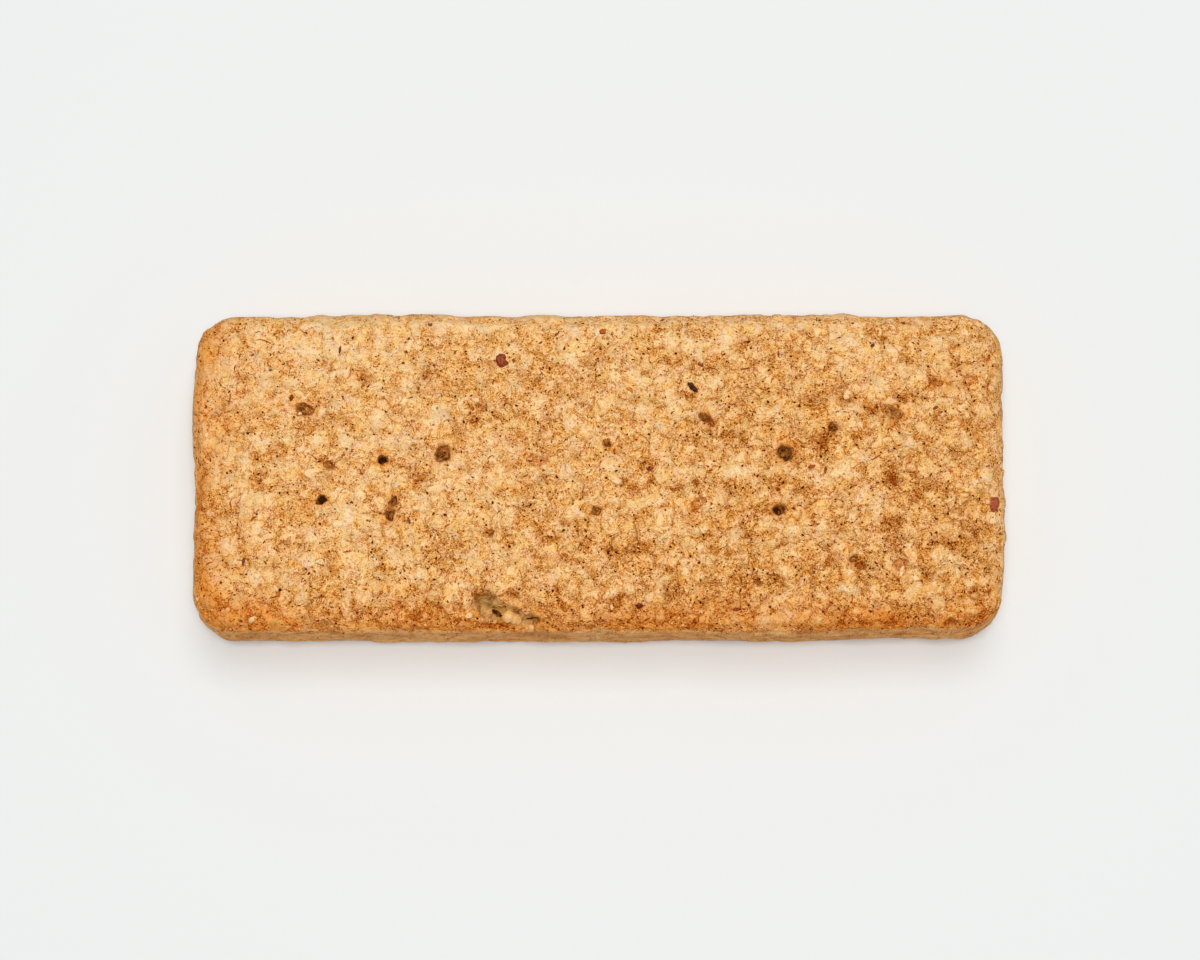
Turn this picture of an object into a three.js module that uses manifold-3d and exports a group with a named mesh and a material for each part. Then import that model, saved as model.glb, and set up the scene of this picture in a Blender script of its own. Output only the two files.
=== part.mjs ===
// A soft-baked granola bar: one rounded oat slab with a lumpy top, bulging walls and a flat base.
// Its top has pits, one torn hollow near the front edge, and oat flakes, seeds and dried-fruit bits
// pressed into the crumb. Millimetres, +Z up, origin under the middle of the flat base.

import * as THREE from 'three';
import { mergeVertices } from 'three/addons/utils/BufferGeometryUtils.js';
import Module from 'manifold-3d';

const wasm = await Module();
wasm.setup();

// Sizes of the whole bar
const LENGTH = 99.6;
const WIDTH = 40;
const HEIGHT = 14.8;
const CORNER_RADIUS = 5.3;
const TOP_EDGE_RADIUS = 2.2;
const BASE_EDGE_RADIUS = 0.9;

// How the top sinks towards its rim and how the walls bulge at half height
const DOME_DROP = 0.9;
const DOME_REACH = 8;
const WALL_BULGE = 0.5;

// Places where the outline swells or falls in, each with its reach and its push outwards
const OUTLINE_SWELLS = [
  { x: 50, y: -4, reach: 6, push: 0.35 },
  { x: 49, y: 15, reach: 5, push: 0.3 },
  { x: -50, y: 6, reach: 7, push: 0.25 },
  { x: 14, y: 20, reach: 14, push: 0.2 },
  { x: 40, y: -20, reach: 8, push: -0.3 },
];

// Relief of the crumb, from broad swells to lumps of oat: wavelength, height and seed of each layer,
// and the share of it that the pressed walls keep
const RELIEF_LAYERS = [
  { wave: 13, height: 0.3, seed: 11 },
  { wave: 5.2, height: 0.4, seed: 23 },
  { wave: 2.7, height: 0.3, seed: 37 },
];
const WALL_RELIEF = 0.35;

// Cells of the block that is shaped into the slab, and the spare depth that the base cut takes off
const CELLS_LONG = 74;
const CELLS_WIDE = 29;
const WALL_RINGS = 6;
const SPARE = 1;
const MERGE_GAP = 1e-4;

// Air pockets that open on the top: place, half sizes in plan, depth and turn in degrees
const PITS = [
  { x: -35.8, y: 7.6, long: 1.35, wide: 0.8, deep: 1.1, turn: -24 },
  { x: -26.3, y: 1.4, long: 0.6, wide: 0.55, deep: 1.3, turn: 0 },
  { x: -19.1, y: 2.1, long: 1.0, wide: 0.8, deep: 1.0, turn: 70 },
  { x: -33.7, y: -3.6, long: 0.65, wide: 0.5, deep: 1.1, turn: 0 },
  { x: -25.3, y: -5.5, long: 0.8, wide: 0.6, deep: 1.1, turn: 80 },
  { x: -25, y: -3.7, long: 0.6, wide: 0.5, deep: 0.8, turn: 90 },
  { x: -32.8, y: 0.6, long: 0.8, wide: 0.6, deep: 0.6, turn: -30 },
  { x: -7.4, y: 1.3, long: 1.5, wide: 0.7, deep: 0.6, turn: -10 },
  { x: 1, y: 3.3, long: 0.55, wide: 0.45, deep: 0.9, turn: 0 },
  { x: -0.4, y: -4.9, long: 0.75, wide: 0.6, deep: 0.8, turn: 40 },
  { x: 13.2, y: 6.5, long: 0.95, wide: 0.65, deep: 0.8, turn: -40 },
  { x: 22.7, y: 2.3, long: 0.95, wide: 0.85, deep: 1.3, turn: 0 },
  { x: 22.1, y: -4.8, long: 0.85, wide: 0.7, deep: 1.1, turn: 20 },
  { x: 28.7, y: 5.5, long: 0.65, wide: 0.55, deep: 0.9, turn: 90 },
  { x: 30.2, y: 8.8, long: 0.8, wide: 0.6, deep: 0.7, turn: 0 },
  { x: 35.9, y: 7.2, long: 1.5, wide: 0.8, deep: 0.7, turn: -30 },
  { x: 41.2, y: 11.1, long: 1.2, wide: 0.6, deep: 0.7, turn: -45 },
  { x: 45.3, y: 11.2, long: 0.8, wide: 0.6, deep: 0.6, turn: 60 },
  { x: 12.3, y: -3.9, long: 1.1, wide: 0.6, deep: 0.7, turn: 35 },
  { x: 28.8, y: -10.6, long: 0.9, wide: 0.7, deep: 0.7, turn: 0 },
  { x: 36.8, y: -11.4, long: 1.0, wide: 0.6, deep: 0.6, turn: 20 },
  { x: 42.9, y: -18.5, long: 0.9, wide: 0.8, deep: 0.7, turn: 0 },
];

// The torn hollow by the front edge, as overlapping scoops, and the crumb left standing in it
const HOLLOW_SCOOPS = [
  { x: -13.6, y: -16.3, long: 2.1, wide: 1.5, deep: 1.0, turn: -35 },
  { x: -11, y: -17.7, long: 2.8, wide: 1.4, deep: 1.0, turn: -20 },
  { x: -8.4, y: -18.4, long: 1.3, wide: 1.1, deep: 1.1, turn: 0 },
];
const HOLLOW_CRUMB = { x: -10.6, y: -17.9, long: 1.05, wide: 0.95, tall: 0.7, turn: 15 };

// Oat flakes that lie proud of the crumb: half sizes in plan and turn, then the loose scatter's rule
const FLAKE_THICKNESS = 0.7;
const OAT_FLAKES = [
  { x: -34.2, y: 12, long: 1.6, wide: 0.8, turn: 8 },
  { x: -31.9, y: 5, long: 1.3, wide: 1.1, turn: 40 },
  { x: -41.2, y: 12.5, long: 0.9, wide: 0.35, turn: 85 },
  { x: -35, y: -0.2, long: 0.9, wide: 0.8, turn: 0 },
  { x: -19.8, y: -2.2, long: 1.6, wide: 0.65, turn: 24 },
  { x: 6.5, y: -15.5, long: 0.95, wide: 0.8, turn: 20 },
  { x: -16, y: -17.4, long: 0.75, wide: 0.6, turn: 0 },
  { x: 29.6, y: 13.7, long: 1.3, wide: 0.7, turn: -20 },
];
const SCATTER = { seed: 5, count: 9, tries: 400, clearance: 4.5, rimGap: 5, long: 1.3, wide: 0.85 };

// Dried-fruit bits and seeds: half sizes, turn and how far they stand up
const FRUIT_AND_SEEDS = [
  { x: -11.7, y: 13.7, long: 0.85, wide: 0.7, tall: 0.5, turn: 60 },
  { x: 48.2, y: -3.8, long: 1.0, wide: 0.5, tall: 0.5, turn: 90 },
  { x: 5, y: -16.5, long: 0.5, wide: 0.35, tall: 0.4, turn: 30 },
  { x: 11.5, y: 10.3, long: 0.65, wide: 0.4, tall: 0.4, turn: -55 },
  { x: 3.6, y: 10.1, long: 0.9, wide: 0.35, tall: 0.3, turn: -25 },
  { x: 22.3, y: 9.7, long: 0.8, wide: 0.4, tall: 0.35, turn: 75 },
];

const BAKED_OAT_COLOUR = 0xdaa060;
const BAKED_OAT_ROUGHNESS = 0.85;

const clamp01 = (value) => Math.min(1, Math.max(0, value));
const mix = (from, to, share) => from + (to - from) * share;

// A repeatable random number from 0 to 1 for a point of the whole-number grid
function gridValue(ix, iy, iz, seed) {
  let bits = Math.imul(ix, 374761393) ^ Math.imul(iy, 668265263);
  bits = bits ^ Math.imul(iz, 1013904223) ^ Math.imul(seed, 1274126177);
  bits = Math.imul(bits ^ (bits >>> 13), 1274126177);
  bits = Math.imul(bits ^ (bits >>> 15), 668265263);
  return ((bits ^ (bits >>> 16)) >>> 0) / 4294967295;
}

// Smooth noise from -1 to 1 that blends the eight grid values round a point
function smoothNoise(point, seed) {
  const cell = point.clone().floor();
  const along = point.clone().sub(cell);
  const ease = (t) => t * t * (3 - 2 * t);
  const row = (iy, iz) =>
    mix(
      gridValue(cell.x, cell.y + iy, cell.z + iz, seed),
      gridValue(cell.x + 1, cell.y + iy, cell.z + iz, seed),
      ease(along.x),
    );
  const sheet = (iz) => mix(row(0, iz), row(1, iz), ease(along.y));
  return 2 * mix(sheet(0), sheet(1), ease(along.z)) - 1;
}

// Height of the crumb's relief above the smooth slab
function relief(point) {
  const layer = ({ wave, height, seed }) => height * smoothNoise(point.clone().divideScalar(wave), seed);
  return RELIEF_LAYERS.reduce((sum, entry) => sum + layer(entry), 0);
}

// How far a plan point lies inside the rounded rectangle, and which way is outwards there
function planInset(x, y) {
  const overX = Math.abs(x) - (LENGTH / 2 - CORNER_RADIUS);
  const overY = Math.abs(y) - (WIDTH / 2 - CORNER_RADIUS);
  const out = new THREE.Vector2();
  if (overX > 0 && overY > 0) {
    const reach = Math.hypot(overX, overY);
    out.set((Math.sign(x) * overX) / reach, (Math.sign(y) * overY) / reach);
    return { inset: CORNER_RADIUS - reach, out };
  }
  if (overX > overY) {
    out.set(Math.sign(x), 0);
  } else {
    out.set(0, Math.sign(y));
  }
  return { inset: CORNER_RADIUS - Math.max(overX, overY), out };
}

// Pulls the block's square plan corners onto arcs
function roundPlanCorner(x, y) {
  const coreX = LENGTH / 2 - CORNER_RADIUS;
  const coreY = WIDTH / 2 - CORNER_RADIUS;
  const overX = Math.abs(x) - coreX;
  const overY = Math.abs(y) - coreY;
  if (overX <= 0 || overY <= 0) {
    return { x, y };
  }
  const share = Math.max(overX, overY) / Math.hypot(overX, overY);
  return { x: Math.sign(x) * (coreX + overX * share), y: Math.sign(y) * (coreY + overY * share) };
}

// Push of the named outline swells at a plan point
function outlineSwell(x, y) {
  const push = (swell) =>
    swell.push * Math.exp(-((x - swell.x) ** 2 + (y - swell.y) ** 2) / (2 * swell.reach ** 2));
  return OUTLINE_SWELLS.reduce((sum, swell) => sum + push(swell), 0);
}

// How far the wall stands in at a height: bulged in the middle, rounded under at the base
function wallInset(z) {
  const middle = HEIGHT / 2;
  const height = Math.max(0, z);
  const bulge = WALL_BULGE * ((height - middle) / middle) ** 2;
  const under = Math.max(0, BASE_EDGE_RADIUS - height);
  return bulge + BASE_EDGE_RADIUS - Math.sqrt(BASE_EDGE_RADIUS ** 2 - under ** 2);
}

// Moves one point of the block's skin to the slab's skin, with the relief
function shapePoint(block) {
  const plan = roundPlanCorner(block.x, block.y);
  const { inset, out } = planInset(plan.x, plan.y);
  const side = clamp01((TOP_EDGE_RADIUS - inset) / TOP_EDGE_RADIUS);
  const rise = clamp01((block.z - HEIGHT + TOP_EDGE_RADIUS) / TOP_EDGE_RADIUS);
  const onEdge = side > 0 && rise > 0;
  const share = onEdge ? Math.max(side, rise) / Math.hypot(side, rise) : 1;
  const moved = onEdge ? TOP_EDGE_RADIUS * side * (share - 1) : 0;
  const height = onEdge ? HEIGHT - TOP_EDGE_RADIUS * (1 - rise * share) : block.z;
  const newInset = inset - moved;
  const nearRim = clamp01(1 - newInset / CORNER_RADIUS);
  const shift = moved + nearRim * (outlineSwell(plan.x, plan.y) - wallInset(height));
  const drop = DOME_DROP * clamp01(1 - newInset / DOME_REACH) ** 2;
  const point = new THREE.Vector3(
    plan.x + out.x * shift,
    plan.y + out.y * shift,
    height * (1 - drop / HEIGHT),
  );
  const isTop = block.z > HEIGHT - MERGE_GAP;
  const normal = onEdge
    ? new THREE.Vector3(out.x * side, out.y * side, rise).normalize()
    : new THREE.Vector3(isTop ? 0 : out.x, isTop ? 0 : out.y, isTop ? 1 : 0);
  return point.addScaledVector(normal, relief(point) * mix(WALL_RELIEF, 1, normal.z));
}

// Top of the slab, relief included, over a plan point away from the rim
function topHeight(x, y) {
  const { inset } = planInset(x, y);
  const side = clamp01((TOP_EDGE_RADIUS - inset) / TOP_EDGE_RADIUS);
  const rounded = TOP_EDGE_RADIUS * (1 - Math.sqrt(1 - side * side));
  const drop = DOME_DROP * clamp01(1 - inset / DOME_REACH) ** 2;
  const point = new THREE.Vector3(x, y, HEIGHT - rounded - drop);
  return point.z + relief(point);
}

// A closed three.js shape as a solid that can be joined and cut
function toSolid(geometry) {
  geometry.deleteAttribute('normal');
  geometry.deleteAttribute('uv');
  const merged = mergeVertices(geometry, MERGE_GAP);
  return new wasm.Manifold(
    new wasm.Mesh({
      numProp: 3,
      vertProperties: new Float32Array(merged.attributes.position.array),
      triVerts: new Uint32Array(merged.index.array),
    }),
  );
}

function toGeometry(solid) {
  const mesh = solid.getMesh();
  const geometry = new THREE.BufferGeometry();
  geometry.setAttribute('position', new THREE.BufferAttribute(mesh.vertProperties, 3));
  geometry.setIndex(new THREE.BufferAttribute(mesh.triVerts, 1));
  geometry.computeVertexNormals();
  return geometry;
}

// The bare slab: a fine block whose skin is moved, then cut flat at the base
function slabSolid() {
  const depth = HEIGHT + SPARE;
  const block = new THREE.BoxGeometry(LENGTH, WIDTH, depth, CELLS_LONG, CELLS_WIDE, WALL_RINGS);
  block.deleteAttribute('normal');
  block.deleteAttribute('uv');
  const skin = mergeVertices(block, MERGE_GAP);
  const place = skin.attributes.position;
  const point = new THREE.Vector3();
  for (let i = 0; i < place.count; i += 1) {
    point.fromBufferAttribute(place, i);
    const share = point.z / depth + 0.5;
    point.z = mix(-SPARE, HEIGHT, 0.5 - 0.5 * Math.cos(Math.PI * share));
    const shaped = shapePoint(point);
    place.setXYZ(i, shaped.x, shaped.y, shaped.z);
  }
  const under = new THREE.BoxGeometry(2 * LENGTH, 2 * WIDTH, 2 * SPARE);
  under.translate(0, 0, -SPARE);
  return toSolid(skin).subtract(toSolid(under));
}

// A round lump of given half sizes, turned in plan, with its middle at a height above the top
function lump(shape, { x, y, long, wide, turn }, tall, rise) {
  shape.scale(long, wide, tall);
  shape.rotateZ(THREE.MathUtils.degToRad(turn));
  shape.translate(x, y, topHeight(x, y) + rise);
  return toSolid(shape);
}

// An air pocket: a deep round hollow whose mouth is as wide as the pit
function pitSolid(pit) {
  return lump(new THREE.SphereGeometry(1, 8, 5).rotateX(Math.PI / 2), pit, pit.deep, 0);
}

// An oat flake: a thin oval lens that lies half sunk
function flakeSolid(flake) {
  return lump(new THREE.SphereGeometry(1, 10, 4).rotateX(Math.PI / 2), flake, FLAKE_THICKNESS / 2, 0.04);
}

// A chunky bit with flat facets, half sunk
function bitSolid(bit) {
  return lump(new THREE.IcosahedronGeometry(1, 0), bit, bit.tall, 0);
}

// Numbers from 0 to 1 in a repeatable order
function* randomNumbers(seed) {
  for (let step = 0; ; step += 1) {
    yield gridValue(step, 3 * step + 1, 7, seed);
  }
}

// Flakes spread over the open top, clear of the rim, the pits and each other
function scatteredFlakes(taken) {
  const random = randomNumbers(SCATTER.seed);
  const next = () => random.next().value;
  const placed = [];
  for (let attempt = 0; attempt < SCATTER.tries && placed.length < SCATTER.count; attempt += 1) {
    const size = mix(0.75, 1.2, next());
    const flake = {
      x: mix(-0.5, 0.5, next()) * (LENGTH - 2 * SCATTER.rimGap),
      y: mix(-0.5, 0.5, next()) * (WIDTH - 2 * SCATTER.rimGap),
      long: SCATTER.long * size,
      wide: SCATTER.wide * size,
      turn: 180 * next(),
    };
    const clear = ({ x, y }) => Math.hypot(x - flake.x, y - flake.y) > SCATTER.clearance;
    if ([...taken, ...placed].every(clear)) {
      placed.push(flake);
    }
  }
  return placed;
}

function barGeometry() {
  const scoops = HOLLOW_SCOOPS.map(pitSolid);
  const hollows = [...PITS.map(pitSolid), ...scoops];
  const pitted = hollows.reduce((body, hollow) => body.subtract(hollow), slabSolid());
  const taken = [...PITS, ...HOLLOW_SCOOPS, ...OAT_FLAKES, ...FRUIT_AND_SEEDS];
  const flakes = [...OAT_FLAKES, ...scatteredFlakes(taken)].map(flakeSolid);
  const bits = FRUIT_AND_SEEDS.map(bitSolid);
  const crumb = lump(new THREE.IcosahedronGeometry(1, 1), HOLLOW_CRUMB, HOLLOW_CRUMB.tall, -0.35);
  const whole = [...flakes, ...bits, crumb].reduce((body, extra) => body.add(extra), pitted);
  const geometry = toGeometry(whole);
  geometry.computeBoundingBox();
  const middle = geometry.boundingBox.getCenter(new THREE.Vector3());
  geometry.translate(-middle.x, -middle.y, 0);
  return geometry;
}

const bakedOat = new THREE.MeshStandardMaterial({
  color: BAKED_OAT_COLOUR,
  roughness: BAKED_OAT_ROUGHNESS,
  metalness: 0,
});

const bar = new THREE.Mesh(barGeometry(), bakedOat);
bar.name = 'bar';

const granolaBar = new THREE.Group();
granolaBar.add(bar);

export default granolaBar;
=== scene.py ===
"""A soft-baked granola bar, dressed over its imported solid.

The slab is remade as a fine skin over the solid's own form: a rounded block that is moved by the crumb's
relief, by oat flakes pressed into it, by air pockets and by the layers that show on its walls. Oat flakes,
bran, crumbs, seeds and fruit bits are pieces of their own that lie half sunk in that skin.
Lengths are millimetres until a mesh is written, which is in metres like the frame.
"""

import logging
import math
from dataclasses import dataclass, field
from enum import Enum

import bmesh
import bpy
import numpy as np
from mathutils import Matrix, Vector


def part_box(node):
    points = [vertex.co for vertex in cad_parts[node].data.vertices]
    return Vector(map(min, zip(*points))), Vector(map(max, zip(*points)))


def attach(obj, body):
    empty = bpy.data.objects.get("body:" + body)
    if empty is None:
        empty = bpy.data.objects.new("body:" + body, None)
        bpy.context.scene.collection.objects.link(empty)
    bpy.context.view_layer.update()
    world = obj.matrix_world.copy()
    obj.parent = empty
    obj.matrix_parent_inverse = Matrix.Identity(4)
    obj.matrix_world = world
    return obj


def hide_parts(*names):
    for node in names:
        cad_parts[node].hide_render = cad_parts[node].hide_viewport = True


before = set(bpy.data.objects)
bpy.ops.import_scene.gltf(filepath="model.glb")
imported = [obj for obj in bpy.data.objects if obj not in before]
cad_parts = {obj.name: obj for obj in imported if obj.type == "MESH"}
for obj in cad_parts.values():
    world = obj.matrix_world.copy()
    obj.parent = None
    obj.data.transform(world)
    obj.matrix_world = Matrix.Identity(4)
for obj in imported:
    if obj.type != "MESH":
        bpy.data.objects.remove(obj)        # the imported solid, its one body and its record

log = logging.getLogger("granola_bar")

MM = 0.001
BODY = "root"
NODE = "bar"
Array = np.ndarray


def eased(low: float, high: float, value: Array) -> Array:
    """Gives a smooth step.

    Args:
        low: the value at which the step starts, at 0.
        high: the value at which it ends, at 1.
        value: the values to put through it.

    Returns:
        The step's height at each value.
    """
    share = np.clip((value - low) / (high - low), 0.0, 1.0)
    return share * share * (3.0 - 2.0 * share)


def rgb(red: int, green: int, blue: int) -> tuple[float, float, float, float]:
    """Turns a screen colour, 0 to 255 each, into the linear colour that a shader takes."""
    def linear(part: int) -> float:
        """Undoes the screen's gamma on one channel."""
        share = part / 255
        return share / 12.92 if share <= 0.04045 else ((share + 0.055) / 1.055) ** 2.4
    return (linear(red), linear(green), linear(blue), 1.0)


@dataclass(frozen=True)
class Relief:
    """One layer of smooth repeatable noise, the same as the solid's: wavelength, height and seed."""

    wave: float
    height: float
    seed: int

    @staticmethod
    def _grid_value(ix: Array, iy: Array, iz: Array, seed: int) -> Array:
        """Gives a repeatable number from 0 to 1 for each point of the whole-number grid."""
        first, second, third = np.uint32(374761393), np.uint32(668265263), np.uint32(1013904223)
        last = np.uint32(1274126177)
        bits = (ix.astype(np.uint32) * first) ^ (iy.astype(np.uint32) * second)
        bits = bits ^ (iz.astype(np.uint32) * third) ^ np.uint32((seed * 1274126177) & 0xFFFFFFFF)
        bits = (bits ^ (bits >> np.uint32(13))) * last
        bits = (bits ^ (bits >> np.uint32(15))) * second
        return (bits ^ (bits >> np.uint32(16))) / 4294967295.0

    def at(self, points: Array) -> Array:
        """Gives the layer's height at points.

        Args:
            points: places in millimetres, one row each.

        Returns:
            Heights in millimetres, from minus to plus the layer's height.
        """
        place = points / self.wave
        cell = np.floor(place)
        along = place - cell
        ease = along * along * (3.0 - 2.0 * along)
        whole = cell.astype(np.int64)
        total = np.zeros(len(points))
        for corner in range(8):
            step = np.array([corner & 1, (corner >> 1) & 1, (corner >> 2) & 1])
            weight = np.prod(np.where(step, ease, 1.0 - ease), axis=1)
            at = whole + step
            total += weight * self._grid_value(at[:, 0], at[:, 1], at[:, 2], self.seed)
        return self.height * (2.0 * total - 1.0)


@dataclass(frozen=True)
class Swell:
    """A place where the outline stands out or falls in."""

    x: float
    y: float
    reach: float
    push: float


@dataclass(frozen=True)
class Spot:
    """A small thing on the top: place, half sizes in plan, depth or thickness, and turn in degrees."""

    x: float
    y: float
    long: float
    wide: float
    deep: float
    turn: float = 0.0


def spots(*rows: tuple[float, ...]) -> tuple[Spot, ...]:
    """Makes spots of rows of numbers, which stand in the order of a spot's fields."""
    return tuple(Spot(*row) for row in rows)


@dataclass(frozen=True)
class SlabForm:
    """The bar's smooth form and shared relief, with the solid's own driving sizes."""

    length: float = 99.6
    width: float = 40.0
    height: float = 14.8
    corner_radius: float = 5.3
    top_edge_radius: float = 2.2
    base_edge_radius: float = 0.9
    dome_drop: float = 0.9
    dome_reach: float = 8.0
    wall_bulge: float = 0.5
    wall_relief: float = 0.35
    swells: tuple[Swell, ...] = (
        Swell(50, -4, 6, 0.35),
        Swell(49, 15, 5, 0.3),
        Swell(-50, 6, 7, 0.25),
        Swell(14, 20, 14, 0.2),
        Swell(40, -20, 8, -0.3),
    )
    reliefs: tuple[Relief, ...] = (Relief(13, 0.3, 11), Relief(5.2, 0.4, 23), Relief(2.7, 0.3, 37))

    def shared_relief(self, points: Array) -> Array:
        """Gives the relief that the solid has too, in millimetres."""
        return sum(layer.at(points) for layer in self.reliefs)

    def inset(self, x: Array, y: Array) -> tuple[Array, Array]:
        """Measures plan points against the rounded rectangle.

        Args:
            x: places along the bar.
            y: places across it.

        Returns:
            How far inside the outline each point lies, and the plan direction outwards there.
        """
        over = np.stack([np.abs(x) - (self.length / 2 - self.corner_radius),
                         np.abs(y) - (self.width / 2 - self.corner_radius)], axis=1)
        sign = np.stack([np.sign(x), np.sign(y)], axis=1)
        corner = (over > 0).all(axis=1)
        reach = np.where(corner, np.hypot(over[:, 0], over[:, 1]), over.max(axis=1))
        along_x = over[:, 0] > over[:, 1]
        flat = np.stack([along_x, ~along_x], axis=1) * sign
        safe = np.maximum(reach, 1e-9)[:, None]
        out = np.where(corner[:, None], over * sign / safe, flat)
        return self.corner_radius - reach, out

    def round_corners(self, x: Array, y: Array) -> tuple[Array, Array]:
        """Pulls the block's square plan corners onto arcs."""
        core_x = self.length / 2 - self.corner_radius
        core_y = self.width / 2 - self.corner_radius
        over_x = np.abs(x) - core_x
        over_y = np.abs(y) - core_y
        corner = (over_x > 0) & (over_y > 0)
        span = np.maximum(np.hypot(over_x, over_y), 1e-9)
        share = np.where(corner, np.maximum(over_x, over_y) / span, 1.0)
        new_x = np.where(corner, np.sign(x) * (core_x + over_x * share), x)
        new_y = np.where(corner, np.sign(y) * (core_y + over_y * share), y)
        return new_x, new_y

    def wall_inset(self, z: Array) -> Array:
        """Gives how far the wall stands in at each height: bulged, and rounded under at the base."""
        middle = self.height / 2
        height = np.maximum(z, 0.0)
        bulge = self.wall_bulge * ((height - middle) / middle) ** 2
        under = np.maximum(self.base_edge_radius - height, 0.0)
        rounded = self.base_edge_radius - np.sqrt(self.base_edge_radius ** 2 - under ** 2)
        return bulge + rounded

    def swell(self, x: Array, y: Array) -> Array:
        """Gives the outline's push outwards at plan points."""
        total = np.zeros_like(x)
        for one in self.swells:
            away = (x - one.x) ** 2 + (y - one.y) ** 2
            total += one.push * np.exp(-away / (2 * one.reach ** 2))
        return total

    def shape(self, block: Array) -> tuple[Array, Array, Array]:
        """Moves the skin of a block to the smooth slab's skin.

        Args:
            block: points on the block, one row each.

        Returns:
            The slab's points, the directions outwards there, and how far in from the outline they lie.
        """
        x, y = self.round_corners(block[:, 0], block[:, 1])
        inset, out = self.inset(x, y)
        radius = self.top_edge_radius
        side = np.clip((radius - inset) / radius, 0, 1)
        rise = np.clip((block[:, 2] - self.height + radius) / radius, 0, 1)
        on_edge = (side > 0) & (rise > 0)
        span = np.maximum(np.hypot(side, rise), 1e-9)
        share = np.where(on_edge, np.maximum(side, rise) / span, 1.0)
        moved = np.where(on_edge, radius * side * (share - 1), 0.0)
        height = np.where(on_edge, self.height - radius * (1 - rise * share), block[:, 2])
        new_inset = inset - moved
        near_rim = np.clip(1 - new_inset / self.corner_radius, 0, 1)
        shift = moved + near_rim * (self.swell(x, y) - self.wall_inset(height))
        drop = self.dome_drop * np.clip(1 - new_inset / self.dome_reach, 0, 1) ** 2
        points = np.stack([x + out[:, 0] * shift, y + out[:, 1] * shift,
                           height * (1 - drop / self.height)], axis=1)
        is_top = block[:, 2] > self.height - 1e-4
        flat_side = np.where(is_top, 0.0, 1.0)
        edge_normal = np.stack([out[:, 0] * side, out[:, 1] * side, rise], axis=1)
        edge_normal /= np.maximum(np.linalg.norm(edge_normal, axis=1), 1e-9)[:, None]
        plain = np.stack([out[:, 0] * flat_side, out[:, 1] * flat_side, 1.0 - flat_side], axis=1)
        normals = np.where(on_edge[:, None], edge_normal, plain)
        return points, normals, new_inset


# Air pockets of the top crust.
PITS = spots(
    (-35.9, 7.7, 1.25, 0.7, 0.9, -24),
    (-26.3, 1.5, 0.66, 0.62, 1.7),
    (-19.0, 2.1, 1.2, 0.9, 0.95, 70),
    (-33.7, -3.5, 0.78, 0.62, 1.25, 20),
    (-25.3, -5.5, 0.85, 0.75, 1.0, 80),
    (-25.0, -3.7, 0.8, 0.6, 0.9, 90),
    (-32.8, 0.6, 0.8, 0.6, 0.6, -30),
    (-7.4, 1.3, 1.5, 0.7, 0.6, -10),
    (1.0, 3.3, 0.55, 0.45, 0.9),
    (-0.4, -4.9, 0.75, 0.6, 0.8, 40),
    (13.1, 6.6, 0.7, 0.55, 1.0, -35),
    (13.9, 6.0, 0.6, 0.35, 0.75, -35),
    (22.8, 2.3, 1.22, 1.08, 1.05, 30),
    (22.1, -4.7, 0.98, 0.76, 1.05, 25),
    (28.7, 5.5, 0.6, 0.45, 1.0, 90),
    (30.2, 8.8, 0.8, 0.6, 0.7),
    (35.9, 7.2, 1.5, 0.8, 0.7, -30),
    (41.2, 11.1, 1.2, 0.6, 0.7, -45),
    (45.3, 11.2, 0.8, 0.6, 0.6, 60),
    (12.3, -3.9, 1.1, 0.6, 0.7, 35),
    (31.0, -10.9, 0.7, 0.5, 0.8, 10),
    (32.1, -11.7, 0.75, 0.45, 0.75, -20),
    (28.8, -10.6, 0.9, 0.7, 0.7),
    (36.8, -11.4, 1.0, 0.6, 0.6, 20),
    (42.9, -18.5, 0.9, 0.8, 0.7),
    (-12.3, -17.4, 0.8, 0.4, 1.15, -40),
    (-8.1, -18.3, 0.9, 0.5, 1.15, 20),
)
# The torn hollow near the front edge, and the crumbs left standing in it.
HOLLOW = spots(
    (-13.6, -16.3, 2.1, 1.5, 1.0, -35),
    (-11.0, -17.7, 2.8, 1.4, 1.0, -20),
    (-8.4, -18.4, 1.3, 1.1, 1.1),
)
HOLLOW_CRUMBS = spots(
    (-10.9, -17.7, 0.85, 0.75, 0.75, 40),
    (-10.2, -18.0, 0.8, 0.7, 0.7, -30),
    (-8.1, -19.0, 0.4, 0.35, 0.35),
)
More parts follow.
